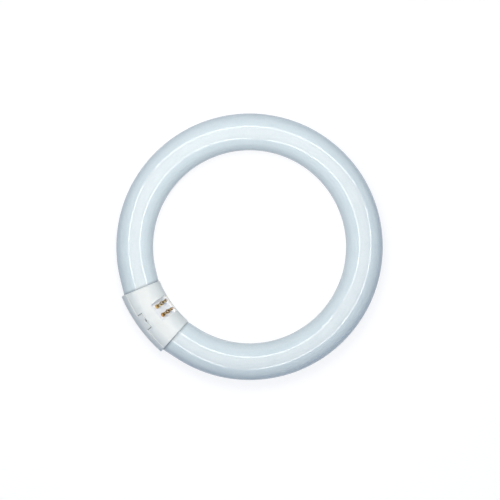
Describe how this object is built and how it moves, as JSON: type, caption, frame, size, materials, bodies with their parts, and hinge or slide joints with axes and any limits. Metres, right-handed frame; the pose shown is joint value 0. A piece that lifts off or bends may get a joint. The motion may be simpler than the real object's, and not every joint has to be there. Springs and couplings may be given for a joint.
{
  "type": "circular fluorescent tube",
  "caption": "Ring-shaped coated glass fluorescent lamp whose two ends meet in a split plastic cap with slanted brass contact pins.",
  "frame": {"origin": "the ring's axis at the level of the cap's underside, which the lamp rests on", "axes": "+Z along the ring's axis, up with the lamp lying flat; the cap is on the -Y side and its pins point between +Y and +Z"},
  "size_m": [0.2112, 0.214, 0.0324],
  "materials": {
    "coated_glass": "gloss",
    "white_plastic": "satin",
    "brass": "satin",
    "lead_wire": "satin"
  },
  "bodies": {
    "root": {"glass_tube": "coated_glass", "cap_front_shell": "white_plastic", "cap_back_shell": "white_plastic", "contact_pin_1": "brass", "contact_pin_2": "brass", "contact_pin_3": "brass", "contact_pin_4": "brass", "lead_wire_1": "lead_wire", "lead_wire_2": "lead_wire", "lead_wire_3": "lead_wire", "lead_wire_4": "lead_wire"}
  },
  "joints": []
}
